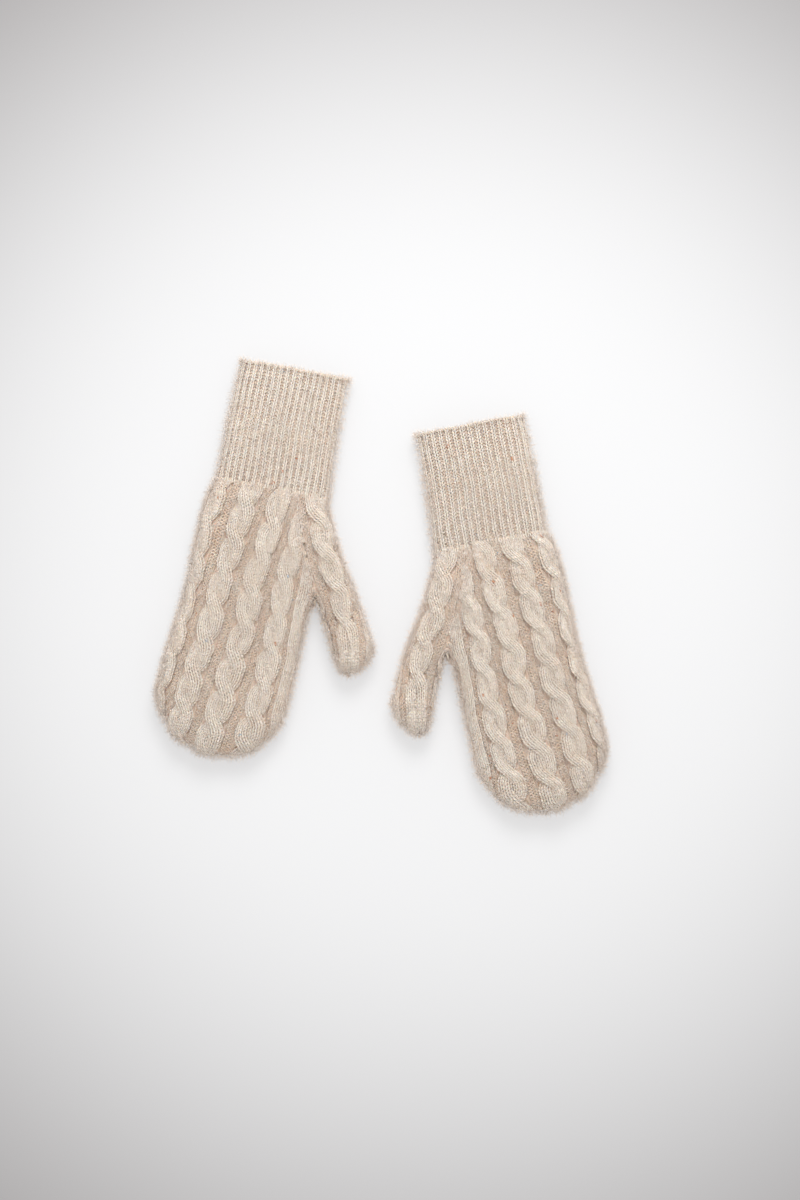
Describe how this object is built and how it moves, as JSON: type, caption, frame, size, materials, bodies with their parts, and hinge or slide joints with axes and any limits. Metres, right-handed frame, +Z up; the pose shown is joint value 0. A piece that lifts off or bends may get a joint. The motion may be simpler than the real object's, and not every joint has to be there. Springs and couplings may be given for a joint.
{
  "type": "pair of cable knit mittens",
  "caption": "Pair of soft cable knit mittens with long ribbed cuffs and separate thumbs, lying flat side by side, folding at wrist, fingers and thumb.",
  "frame": {"origin": "on the surface that the pair lies on, under the middle of the pair's box", "axes": "+Z up, out of the palm faces; +Y towards the cuffs; +X from the left mitten to the right one"},
  "size_m": [0.3278, 0.3356, 0.024],
  "materials": {
    "cable_knit": "brushed oatmeal wool blend yarn with blue and rust flecks, cables on a purl ground",
    "rib_knit": "brushed oatmeal wool blend yarn, one by one rib",
    "seam_yarn": "the same yarn, linked seam"
  },
  "bodies": {
    "left_cuff": {"left_cuff_edge": "rib_knit", "left_cuff_palm": "rib_knit", "left_cuff_back": "rib_knit", "left_cuff_seams": "seam_yarn"},
    "left_hand": {"left_hand_palm": "cable_knit", "left_hand_back": "cable_knit", "left_hand_seams": "seam_yarn"},
    "left_fingers": {"left_fingers_palm": "cable_knit", "left_fingers_back": "cable_knit", "left_tip_seam": "seam_yarn"},
    "left_thumb": {"left_thumb_palm": "cable_knit", "left_thumb_back": "cable_knit", "left_thumb_seam": "seam_yarn"},
    "right_cuff": {"right_cuff_edge": "rib_knit", "right_cuff_palm": "rib_knit", "right_cuff_back": "rib_knit", "right_cuff_seams": "seam_yarn"},
    "right_hand": {"right_hand_palm": "cable_knit", "right_hand_back": "cable_knit", "right_hand_seams": "seam_yarn"},
    "right_fingers": {"right_fingers_palm": "cable_knit", "right_fingers_back": "cable_knit", "right_tip_seam": "seam_yarn"},
    "right_thumb": {"right_thumb_palm": "cable_knit", "right_thumb_back": "cable_knit", "right_thumb_seam": "seam_yarn"}
  },
  "joints": [
    {"name": "left_wrist_fold", "type": "hinge", "parent": "left_hand", "child": "left_cuff", "pos_m": [-0.07906, 0.07387, 0.024], "axis": [0.9823, -0.1874, 0], "range_deg": [0, 70]},
    {"name": "left_finger_curl", "type": "hinge", "parent": "left_hand", "child": "left_fingers", "pos_m": [-0.0992, -0.02103, 0.024], "axis": [-0.9823, 0.1874, 0], "range_deg": [0, 80]},
    {"name": "left_thumb_curl", "type": "hinge", "parent": "left_hand", "child": "left_thumb", "pos_m": [-0.02832, -0.02477, 0.024], "axis": [-0.9553, -0.2957, 0], "range_deg": [0, 60]},
    {"name": "right_wrist_fold", "type": "hinge", "parent": "right_hand", "child": "right_cuff", "pos_m": [0.07933, 0.03374, 0.024], "axis": [0.9826, 0.1857, 0], "range_deg": [0, 70]},
    {"name": "right_finger_curl", "type": "hinge", "parent": "right_hand", "child": "right_fingers", "pos_m": [0.0993, -0.0612, 0.024], "axis": [-0.9826, -0.1857, 0], "range_deg": [0, 80]},
    {"name": "right_thumb_curl", "type": "hinge", "parent": "right_hand", "child": "right_thumb", "pos_m": [0.02841, -0.06481, 0.024], "axis": [-0.9548, 0.2974, 0], "range_deg": [0, 60]},
    {"name": "right_mitten_lift", "type": "slide", "parent": "left_hand", "child": "right_hand", "axis": [0, 0, 1], "range_m": [0, 0.12]}
  ]
}
